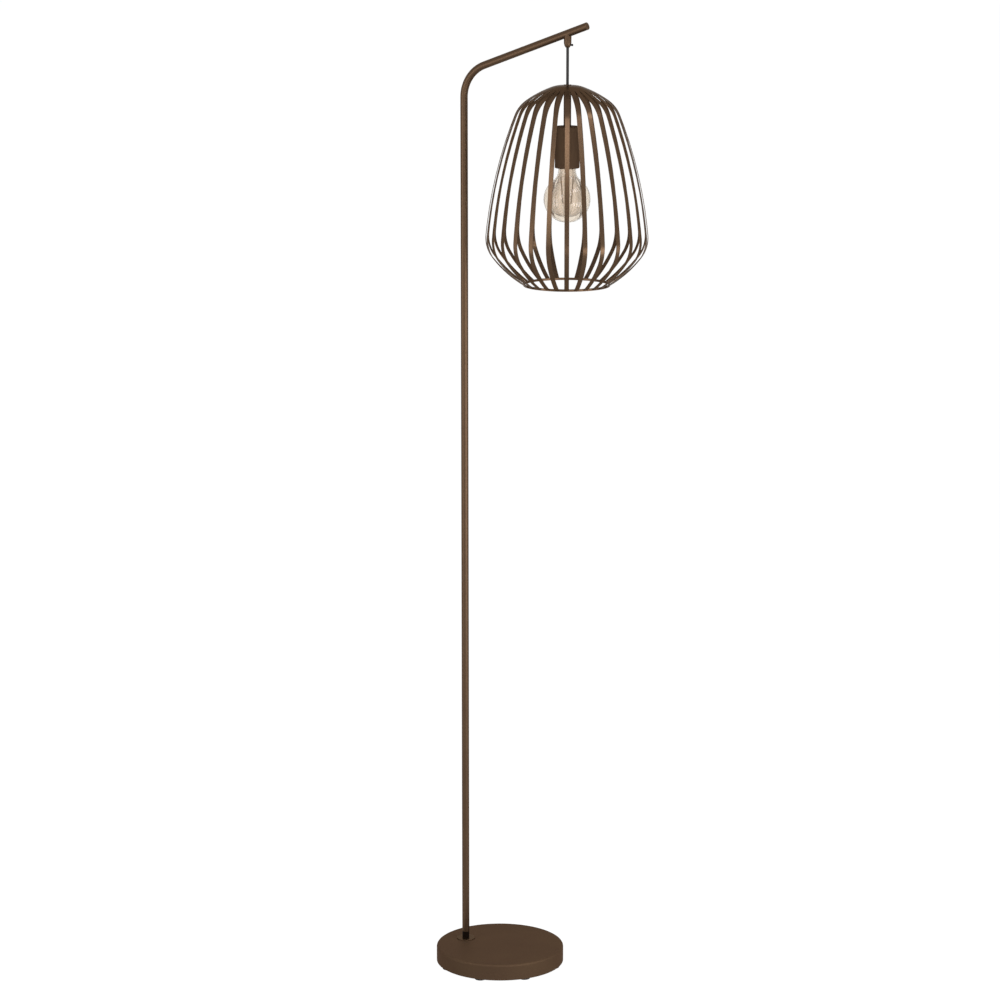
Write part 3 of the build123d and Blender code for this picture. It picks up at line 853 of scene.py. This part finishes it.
# Lampholder
def lampholder():
    """Stem tube, drawn cup and moulded socket, each turned about the shade's axis."""
    stem_r, stem_h, foot_z = upright("stem")
    rows = [(stem_r, 0), (stem_r, stem_h), (hub_bore_r, stem_h), (hub_bore_r, 0)]
    spun(
        "stem_tube", rows, (shade_x, 0, foot_z), "shade", "brown_lacquer", "stem",
        steps=tube_steps, loop=True,
    )
    cup = rounded(
        (
            (hub_bore_r, cup_h, 0),
            (cup_r, cup_h, cup_edge_r),
            (cup_r, 0, cup_lip_r),
            (cup_r - cup_lip_r, 0, 0),
            (cup_r - cup_lip_r, cup_wall, 0),
            (cup_r - cup_wall, cup_wall, cup_lip_r - cup_wall),
            (cup_r - cup_wall, cup_h - cup_wall, cup_edge_r - cup_wall),
            (hub_bore_r, cup_h - cup_wall, 0),
        )
    )
    spun(
        "holder_cup", cup, (shade_x, 0, cup_z), "shade", "brown_lacquer", "holder_cover",
        coat="brown_dull_coat", loop=True,
    )
    socket_r, height, foot_z = upright("lampholder_body")
    floor = span("screw_shell")[1][2] - foot_z
    shoulder = height - socket_neck_h
    socket = rounded(
        (
            (hub_bore_r, height, 0),
            (socket_neck_r, height, socket_edge_r),
            (socket_neck_r, shoulder, 0),
            (socket_r, shoulder, socket_shoulder_h - socket_edge_r),
            (socket_r, 0, socket_edge_r),
            (socket_bore_r, 0, socket_edge_r),
            (socket_bore_r, floor, 0),
            (hub_bore_r, floor, 0),
        )
    )
    spun(
        "holder_socket", socket, (shade_x, 0, foot_z), "shade", "black_plastic", "lampholder_body",
        loop=True,
    )


# Bulb
def bulb():
    """Outer globe, tinted inner drop on its glass mount, and the filaments."""
    ball_r, _, globe_z = upright("bulb_globe")
    ball_z = globe_z + ball_r
    neck_z = cup_z - globe_neck_down
    lift = neck_z - ball_z
    flare_r = (globe_neck_r**2 + lift**2 - ball_r**2) / (2 * (ball_r - globe_neck_r))
    flare_turn = np.arccos((globe_neck_r + flare_r) / (ball_r + flare_r))
    flare = np.linspace(0, flare_turn, flare_rows)
    ball = np.linspace(flare_turn, -pi / 2, ball_rows)
    tuck_z = cap_z + tuck_h

    def wall(inset):
        """Half section of the globe, this far inside its outer face: a tuck, a neck, a flare and a ball."""
        bend = flare_r + inset
        bow = ball_r - inset
        tuck = globe_tuck_r - inset
        neck = [(tuck, tuck_z), (tuck, cap_z), (globe_neck_r - inset, cup_z)]
        flared = (globe_neck_r + flare_r - bend * np.cos(flare), neck_z - bend * np.sin(flare))
        bowed = (bow * np.cos(ball), ball_z + bow * np.sin(ball))
        return np.concatenate((neck, np.stack(flared, axis=1), np.stack(bowed, axis=1)))

    rows = np.concatenate((wall(0), wall(glass_t)[::-1]))
    spun(
        "lamp_globe", rows, (shade_x, 0, 0), "bulb", "clear_glass", "bulb_globe",
        loop=True, sharp=glass_sharp,
    )

    drop_r, _, drop_z = upright("bulb_inner")

    def drop_wall(inset):
        """Half section of the drop, this far inside its outer face: a tuck, an S curve and a bowl."""
        wide = drop_r - inset
        neck = drop_neck_r - inset
        tuck = drop_tuck_r - inset
        foot = drop_z + inset
        waist = ball_z - drop_waist_down
        side = ((neck, neck_z), (neck, neck_z - drop_flare), (wide, waist + drop_flare), (wide, waist))
        bowl = ((wide, waist), (wide, foot + drop_bowl_edge), (wide - drop_bowl_edge, foot), (0, foot))
        return np.concatenate(([(tuck, tuck_z), (tuck, cap_z)], bezier(side), bezier(bowl)[1:]))

    rows = np.concatenate((drop_wall(0), drop_wall(glass_t)[::-1]))
    spun(
        "lamp_drop", rows, (shade_x, 0, 0), "bulb", "amber_glass", "bulb_inner",
        loop=True, sharp=glass_sharp,
    )

    low, high = span("filaments")
    top_z = high[2] - filament_wire_r
    foot_z = low[2] + filament_wire_r
    axis = np.array((shade_x, 0.0, 0.0))
    mount = rod(axis + foot_z * UP - mount_r * UP, axis + tuck_z * UP, mount_r, small_steps)
    piece("lamp_mount", [mount], "bulb", "clear_glass")
    sticks = []
    for number in range(filament_count):
        turn = filament_phase + 2 * pi * number / filament_count
        out = cos(turn) * SIDE + sin(turn) * ACROSS
        top = axis + top_z * UP + out * filament_top_reach
        foot = axis + foot_z * UP + out * filament_foot_reach
        sticks.append(rod(top, foot, filament_r))
        sticks.append(rod(top, axis + top_z * UP + out * mount_r, filament_wire_r))
        sticks.append(rod(foot, axis + foot_z * UP + out * mount_r, filament_wire_r))
    piece("lamp_filaments", sticks, "bulb", "filament", "filaments")


# Flex
def flex():
    """Taut flex from the hanger's mouth to the crown, and the round of flex that turns in the mouth."""
    hub_top = span("hub_nut")[1][2]
    top = np.array((shade_x, 0, mouth[2]))
    route = np.linspace(top, (shade_x, 0, hub_top), flex_points)
    line = bpy.data.curves.new("flex_cord", "CURVE")
    line.dimensions = "3D"
    line.bevel_depth = flex_d / 2 * MM
    line.bevel_resolution = flex_bevel_rows
    line.use_fill_caps = True
    spline = line.splines.new("NURBS")
    spline.points.add(len(route) - 1)
    for point, place in zip(spline.points, route):
        point.co = (*(place * MM), 1.0)
    spline.order_u = 3
    spline.use_endpoint_u = True
    line.materials.append(finishes["flex_pvc"])
    cord = bpy.data.objects.new("flex_cord", line)
    bpy.context.scene.collection.objects.link(cord)
    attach(cord, "flex")
    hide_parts("pendant_cable")
    lean = np.linspace(-pi / 2, pi / 2, knuckle_rows)
    rows = np.stack((np.cos(lean), np.sin(lean)), axis=1) * flex_d / 2
    knuckle = spun("flex_knuckle", rows, mouth, "flex_bend", "flex_pvc", "cable_bend", steps=small_steps)


base()
pole()
hanger()
screw()
bars()
hub()
ring()
lampholder()
bulb()
flex()


# Studio
def camera():
    """Camera at the photograph's place, looking along its fitted direction."""
    eye = bpy.data.cameras.new("camera")
    eye.lens = camera_lens
    eye.sensor_width = camera_sensor
    eye.clip_end = camera_sight
    made = bpy.data.objects.new("camera", eye)
    bpy.context.scene.collection.objects.link(made)
    made.location = (
        (base_x + camera_away * sin(camera_turn)) * MM,
        -camera_away * cos(camera_turn) * MM,
        camera_height * MM,
    )
    made.rotation_euler = (pi / 2 - camera_tilt, 0, camera_turn)
    bpy.context.scene.camera = made


def soft_light(name, turn, away, height, wide, tall, power, aim_z):
    """Soft box at an angle from the camera's side, aimed at a height on the lamp's middle."""
    box = bpy.data.lights.new(name, "AREA")
    box.shape = "RECTANGLE"
    box.size = wide
    box.size_y = tall
    box.energy = power
    made = bpy.data.objects.new(name, box)
    made.visible_camera = False
    made.visible_transmission = False
    bpy.context.scene.collection.objects.link(made)
    angle = camera_turn + radians(turn)
    place = np.array((sin(angle) * away, -cos(angle) * away, height))
    made.location = place
    out = place - np.array((0, 0, aim_z))
    tilt = atan2(np.hypot(out[0], out[1]), out[2])
    made.rotation_euler = (tilt, 0, atan2(out[0], -out[1]))


def seen_white(tree):
    """1 for rays from the camera, and for reflected and refracted ones, which show the backdrop."""
    ray = add(tree, "ShaderNodeLightPath", {})
    shine = add(
        tree, "ShaderNodeMath", {0: ray.outputs["Is Glossy Ray"], 1: ray.outputs["Is Transmission Ray"]},
        operation="MAXIMUM",
    )
    return add(
        tree, "ShaderNodeMath", {0: ray.outputs["Is Camera Ray"], 1: shine.outputs[0]}, operation="MAXIMUM"
    ).outputs[0]


def surround():
    """White backdrop that lights the lamp more faintly than it looks."""
    world = bpy.data.worlds.new("surround")
    bpy.context.scene.world = world
    world.use_nodes = True
    tree = world.node_tree
    tree.nodes.clear()
    ambient = add(tree, "ShaderNodeBackground", {"Color": WHITE, "Strength": ambient_level})
    white = add(tree, "ShaderNodeBackground", {"Color": WHITE, "Strength": backdrop_level})
    both = add(
        tree, "ShaderNodeMixShader",
        {0: seen_white(tree), 1: ambient.outputs["Background"], 2: white.outputs["Background"]},
    )
    out = add(tree, "ShaderNodeOutputWorld", {})
    tree.links.new(both.outputs["Shader"], out.inputs["Surface"])


def pale_floor():
    """Wide pale floor that takes a faint shadow."""
    half = floor_half
    corners = [(-half, -half, 0), (half, -half, 0), (half, half, 0), (-half, half, 0)]
    mesh = bpy.data.meshes.new("floor")
    mesh.from_pydata(corners, [], [(0, 1, 2, 3)])
    floor = bpy.data.objects.new("floor", mesh)
    bpy.context.scene.collection.objects.link(floor)
    made, tree, out, _ = new_finish("pale_floor")
    paper = add(tree, "ShaderNodeBsdfDiffuse", {"Color": linear(floor_colour)})
    glow = add(tree, "ShaderNodeEmission", {"Color": WHITE, "Strength": floor_glow})
    level = add(tree, "ShaderNodeMath", {0: seen_white(tree), 1: floor_glow_share}, operation="MULTIPLY")
    both = add(
        tree, "ShaderNodeMixShader",
        {0: level.outputs[0], 1: paper.outputs["BSDF"], 2: glow.outputs["Emission"]},
    )
    tree.links.new(both.outputs["Shader"], out.inputs["Surface"])
    mesh.materials.append(made)


camera()
surround()
pale_floor()
for light, settings in soft_boxes.items():
    soft_light(light, *settings)
bpy.context.scene.view_settings.view_transform = "Standard"
